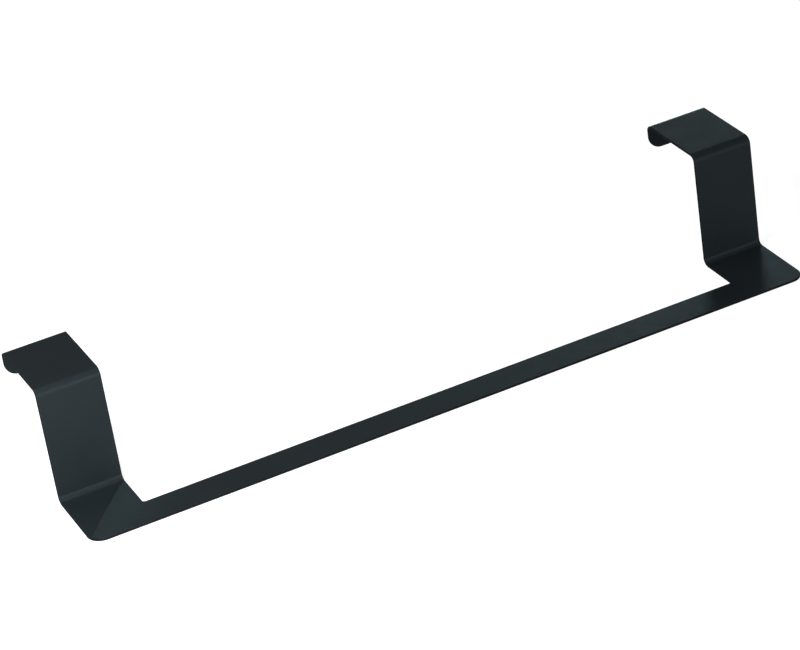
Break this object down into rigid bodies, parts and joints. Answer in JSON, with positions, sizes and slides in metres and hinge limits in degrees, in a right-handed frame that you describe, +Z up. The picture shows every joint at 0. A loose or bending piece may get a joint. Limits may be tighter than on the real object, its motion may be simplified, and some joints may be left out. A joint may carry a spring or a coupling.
{
  "type": "over-door towel rail",
  "caption": "Towel rail folded from one sheet: a flat rail on upright arms that hook over the top of a door, with short rounded lips behind it.",
  "frame": {"origin": "centre of the bounding box in plan, at the height of the rail's underside, which is the face that it stands on", "axes": "+X along the rail, +Y from the rail towards the back of the door, +Z up towards the top edge of the door"},
  "size_m": [0.355, 0.0838, 0.057],
  "materials": {
    "coated_sheet": "satin"
  },
  "bodies": {
    "root": {"towel_rail": "coated_sheet"}
  },
  "joints": []
}
